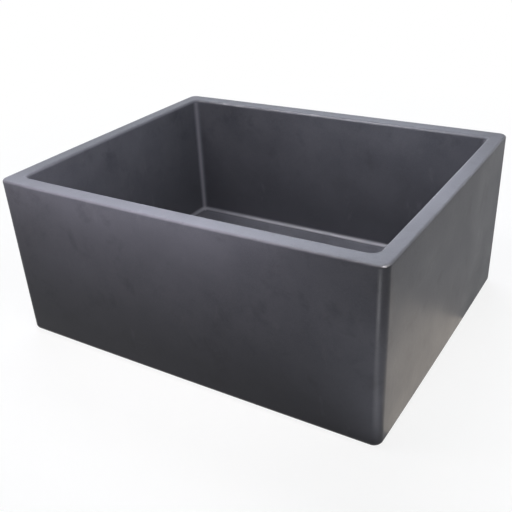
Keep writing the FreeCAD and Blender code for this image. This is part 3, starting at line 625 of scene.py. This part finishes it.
# Turned brass: bright yellow, with the tool's lines round the axis about 0.3 mm apart and a faint brown haze.
turned_brass, tree, place = finish_of("turned_brass")
lines = add(tree, "TexNoise", {"Vector": lathe_place(tree, place), "Scale": per(0.3), "Detail": 2.0})
haze = add(tree, "TexNoise", {"Vector": place, "Scale": per(4), "Detail": 4.0})
brass = add(tree, "MixRGB", {"Fac": haze.outputs["Fac"], "Color1": linear("#cfa65e"), "Color2": linear("#b48a48")})
line_gloss = add(tree, "MapRange", {"Value": lines.outputs["Fac"], "From Min": 0.3, "From Max": 0.7,
                                    "To Min": 0.18, "To Max": 0.34})
tool_marks = add(tree, "Bump", {"Height": lines.outputs["Fac"], "Distance": 0.01 * MM})
shader = add(tree, "BsdfPrincipled", {"Base Color": brass.outputs["Color"], "Metallic": 1.0,
                                      "Roughness": line_gloss.outputs["Result"],
                                      "Normal": tool_marks.outputs["Normal"]})
add(tree, "OutputMaterial", {"Surface": shader.outputs["BSDF"]})

stem_guide = turned("stem_bush", GUIDE_CORNERS, GUIDE_ROUNDS)
fit_piece(stem_guide, "basket", "stem_guide", turned_brass)
guide_washer = turned("bush_washer", ring(*GUIDE_WASHER_RING, *GUIDE_WASHER_LEVELS), GUIDE_WASHER_ROUNDS)
fit_piece(guide_washer, "basket", "guide_washer", spun_steel)
guide_nut = hexagon("bush_nut", GUIDE_NUT_FLAT, GUIDE_NUT_LEVELS, GUIDE_NUT_INSIDE, ease=0.3)
fit_piece(guide_nut, "basket", "guide_nut", turned_brass)
for slot in nodes["stem_o_ring"].material_slots:
    slot.material = black_rubber

# Stopper: a rubber disc bevelled to the cone, clamped by a nut between two steel plates on the foot of a ground
# steel rod. Pushed down by the knob it plugs the outlet; pulled up it lets the water go.
ROD_CORNERS = [(0.0, -50.73), (2.5, -50.73), (2.5, -38.33), (5.0, -38.33), (5.0, -36.33), (3.0, -36.33),
               (3.0, 8.5), (0.0, 8.5)]
ROD_ROUNDS = [0.1, 0.5, 0.2, 0.3, 0.4, 0.3, 0.4, 0.1]
PLATE_HOLE = 2.65
CAP_RADIUS, PLATE_RADIUS = 29.56, 22.0
PLUG_FOOT, PLUG_HEAD = 26.0, 32.56
CAP_TOP, PLUG_TOP, PLUG_LOW, PLATE_LOW = -38.33, -39.53, -44.53, -45.73
CAP_ROUNDS = [0.3, 0.7, 0.2, 0.2]
PLUG_ROUNDS = [0.9, 0.6, 0.3, 0.3]
PLATE_ROUNDS = [0.7, 0.3, 0.2, 0.2]
STEM_NUT_FLAT = 4.0
STEM_NUT_LEVELS = (-49.73, PLATE_LOW)
STEM_NUT_INSIDE = [(PLATE_HOLE, STEM_NUT_LEVELS[1]), (PLATE_HOLE, STEM_NUT_LEVELS[0])]

stopper_stem = turned("stopper_rod", ROD_CORNERS, ROD_ROUNDS, columns=64)
fit_piece(stopper_stem, "stopper", "stopper_stem", spun_steel)
stopper_cap = turned("stopper_top_plate", ring(PLATE_HOLE, CAP_RADIUS, PLUG_TOP, CAP_TOP), CAP_ROUNDS)
fit_piece(stopper_cap, "stopper", "stopper_cap", spun_steel)
plug_corners = [(PLUG_FOOT, PLUG_LOW), (PLUG_HEAD, PLUG_TOP), (PLATE_HOLE, PLUG_TOP), (PLATE_HOLE, PLUG_LOW)]
stopper_seal = turned("stopper_disc", plug_corners, PLUG_ROUNDS, columns=128)
fit_piece(stopper_seal, "stopper", "stopper_seal", black_rubber)
stopper_plate = turned("stopper_foot_plate", ring(PLATE_HOLE, PLATE_RADIUS, PLATE_LOW, PLUG_LOW), PLATE_ROUNDS)
fit_piece(stopper_plate, "stopper", "stopper_plate", spun_steel)
stem_nut = hexagon("stem_hexagon", STEM_NUT_FLAT, STEM_NUT_LEVELS, STEM_NUT_INSIDE, ease=0.2, columns=96)
fit_piece(stem_nut, "stopper", "stem_nut", turned_brass)

# Knob: turned from brass and chromed, pressed onto the head of the rod. Its broad rounded head is what the fingers
# pull the stopper up by, or lift the whole basket out by.
KNOB_CORNERS = [(0.0, 8.5), (3.05, 8.5), (3.05, -1.5), (6.0, -1.5), (6.0, 7.5), (11.0, 7.5), (11.0, 14.5), (0.0, 14.5)]
KNOB_ROUNDS = [0.1, 0.2, 0.4, 0.6, 1.5, 2.5, 2.5, 0.1]

stopper_knob = turned("lift_knob", KNOB_CORNERS, KNOB_ROUNDS)
fit_piece(stopper_knob, "stopper", "stopper_knob", chrome_plate)

# Studio: a broad pale floor that the foot of the bowl stands on, open below it for the waste as a sink base is.
# Near the sink it takes shadow; further out it fades to the plain white backdrop.
FLOOR_REACH = 12.0
OPENING_HALF = (0.289, 0.2305)
FADE_START, FADE_END = 0.5, 1.4
rim_of_floor = np.array([[-1, -1], [1, -1], [1, 1], [-1, 1]])
floor_xy = np.concatenate([rim_of_floor * FLOOR_REACH, rim_of_floor * OPENING_HALF])
floor_points = np.column_stack([floor_xy, np.zeros(8)])
floor_mesh = bpy.data.meshes.new("studio_floor")
floor_mesh.from_pydata(floor_points.tolist(), [], [(i, (i + 1) % 4, 4 + (i + 1) % 4, 4 + i) for i in range(4)])
studio_floor = bpy.data.objects.new("studio_floor", floor_mesh)
bpy.context.scene.collection.objects.link(studio_floor)


def seen_share(tree):
    """1 for the rays that show the backdrop, straight or in metal and glass, and 0 for those that light the sink."""
    path = add(tree, "LightPath", {})
    seen = add(tree, "Math", {0: path.outputs["Is Camera Ray"], 1: path.outputs["Is Glossy Ray"]},
               operation="MAXIMUM")
    return add(tree, "Math", {0: seen.outputs["Value"], 1: path.outputs["Is Transmission Ray"]},
               operation="MAXIMUM").outputs["Value"]


# Matt pale paper: grey enough that the shadow shows, lifted to nearly white near the sink and to white beyond.
# Seen from below it is clear, so that the underside can be looked at.
pale_floor, tree, place = finish_of("pale_studio_floor")
away = add(tree, "VectorMath", {0: place}, operation="LENGTH")
backdrop_share = add(tree, "MapRange", {"Value": away.outputs["Value"], "From Min": FADE_START,
                                        "From Max": FADE_END})
matt = add(tree, "BsdfDiffuse", {"Color": linear("#6c6c6c")})
shadowed = add(tree, "BsdfDiffuse", {"Color": linear("#707070")})
glow = add(tree, "Emission", {"Strength": 0.86})
near = add(tree, "AddShader", {0: shadowed.outputs["BSDF"], 1: glow.outputs["Emission"]})
white = add(tree, "Emission", {"Strength": 1.0})
shown = add(tree, "MixShader", {0: backdrop_share.outputs["Result"], 1: near.outputs["Shader"],
                                2: white.outputs["Emission"]})
top_side = add(tree, "MixShader", {0: seen_share(tree), 1: matt.outputs["BSDF"], 2: shown.outputs["Shader"]})
clear = add(tree, "BsdfTransparent", {})
side = add(tree, "NewGeometry", {})
both_sides = add(tree, "MixShader", {0: side.outputs["Backfacing"], 1: top_side.outputs["Shader"],
                                     2: clear.outputs["BSDF"]})
add(tree, "OutputMaterial", {"Surface": both_sides.outputs["Shader"]})
floor_mesh.materials.append(pale_floor)

# White backdrop: shows as plain white, and lights the sink only a little, so that the lamps shape it.
world = bpy.data.worlds.new("white_studio")
bpy.context.scene.world = world
world.use_nodes = True
tree = world.node_tree
tree.nodes.clear()
room = add(tree, "Background", {"Color": linear("#ffffff"), "Strength": 0.02})
white = add(tree, "Background", {"Color": linear("#ffffff"), "Strength": 1.0})
either = add(tree, "MixShader", {0: seen_share(tree), 1: room.outputs["Background"],
                                 2: white.outputs["Background"]})
add(tree, "OutputWorld", {"Surface": either.outputs["Shader"]})

# Lamps: soft boxes, as the photograph's sheen shows them. A large cool one behind on the left draws the pale rim.
# Small ones and two cards on the floor wash basin, apron and right face, and one below the floor shows the waste.
# Those with a narrow beam only leave a glint: on the basin's fillet and back lip, the rim's tip and the front edge.
UPRIGHT = 0.99


def softbox(name, stand, aim, size, brightness, tint, mirrored=True, beam=None):
    """Flat lamp that stands at one point and faces another. Its power is brightness times pi times its area,
    so brightness 1 looks as bright as white paper. With a beam, in degrees, it only leaves a glint."""
    lamp = bpy.data.lights.new(name, "AREA")
    lamp.shape = "RECTANGLE"
    lamp.size, lamp.size_y = size
    lamp.energy = brightness * math.pi * size[0] * size[1]
    lamp.color = linear(tint)[:3]
    box = bpy.data.objects.new(name, lamp)
    bpy.context.scene.collection.objects.link(box)
    back = np.array(stand, float) - np.array(aim, float)
    back /= np.linalg.norm(back)
    across = np.cross([0, 0, 1] if abs(back[2]) < UPRIGHT else [0, 1, 0], back)
    across /= np.linalg.norm(across)
    stance = Matrix(np.column_stack([across, np.cross(back, across), back]).tolist()).to_4x4()
    stance.translation = stand
    box.matrix_world = stance
    box.visible_camera = False
    box.visible_glossy = mirrored
    if beam is not None:
        lamp.spread = math.radians(beam)
        box.visible_diffuse = False


softbox("back_softbox", stand=(-1.5, 1.82, 2.2), aim=(0, 0, 0.2), size=(2.8, 1.3), brightness=5.9, tint="#eaf2ff")
softbox("top_softbox", stand=(0.1, 0.0, 2.2), aim=(0.1, 0, 0), size=(2.6, 2.0), brightness=0.82, tint="#f8fbff")
softbox("basin_lamp", stand=(0.17, -0.03, 0.6), aim=(0.17, -0.03, 0), size=(0.24, 0.16), brightness=17.0,
        tint="#fafbff", mirrored=False)
softbox("key_lamp", stand=(-0.45, -0.55, 0.85), aim=(0, 0, 0.1), size=(0.2, 0.2), brightness=5.0, tint="#fff8fa")
softbox("apron_wash", stand=(-0.08, -0.32, 0.35), aim=(-0.08, -0.24, 0.22), size=(0.5, 0.04), brightness=12.0,
        tint="#fff8ff", mirrored=False)
softbox("right_card", stand=(0.365, -0.06, 0.004), aim=(0.365, -0.06, 1), size=(0.13, 0.3), brightness=1.1,
        tint="#fff0dc")
softbox("front_card", stand=(0.335, -0.445, 0.004), aim=(0.335, -0.445, 1), size=(0.06, 0.35), brightness=5.0,
        tint="#fafaff")
softbox("side_window", stand=(1.3, 1.6, 0.6), aim=(0.3, 0, 0.25), size=(1.4, 0.7), brightness=1.75, tint="#f4f8ff")
softbox("fillet_glint", stand=(-0.28, -0.245, 0.87), aim=(0.06, 0.217, 0.14), size=(0.85, 0.2), brightness=4.6,
        tint="#fffafa", beam=40)
softbox("tip_glint", stand=(0.95, -0.43, 1.0), aim=(0.3, -0.24, 0.25), size=(0.5, 0.5), brightness=9.0,
        tint="#fffafa", beam=30)
softbox("edge_glint", stand=(0.41, -0.56, 0.02), aim=(0.302, -0.244, 0.2), size=(0.06, 0.06), brightness=10.0,
        tint="#fafaff", beam=60)
softbox("under_softbox", stand=(0.5, -0.6, -1.1), aim=(0, 0, 0), size=(2.0, 2.0), brightness=1.2, tint="#ffffff")

# Camera: stands about 1.2 m off, to the right of the front and well above the rim, and looks down on the sink. Its
# place, angles and focal length were fitted to the bowl's outline in the photograph.
EYE = np.array([550.3, -885.7, 632.7]) * MM
YAW, PITCH, ROLL = np.radians([-32.77, 27.58, 3.07])
FOCAL_PIXELS = 730.6
PHOTO_PIXELS = 512
SENSOR_WIDTH = 36.0
ahead = np.array([np.sin(YAW) * np.cos(PITCH), np.cos(YAW) * np.cos(PITCH), -np.sin(PITCH)])
level = np.array([np.cos(YAW), -np.sin(YAW), 0])
down = np.cross(ahead, level)
right = np.cos(ROLL) * level + np.sin(ROLL) * down
below = np.cos(ROLL) * down - np.sin(ROLL) * level
lens = bpy.data.cameras.new("photo_camera")
lens.sensor_width = SENSOR_WIDTH
lens.lens = FOCAL_PIXELS / PHOTO_PIXELS * SENSOR_WIDTH
camera = bpy.data.objects.new("photo_camera", lens)
bpy.context.scene.collection.objects.link(camera)
pose = Matrix(np.column_stack([right, -below, -ahead]).tolist()).to_4x4()
pose.translation = EYE
camera.matrix_world = pose
bpy.context.scene.camera = camera
bpy.context.scene.view_settings.view_transform = "Standard"
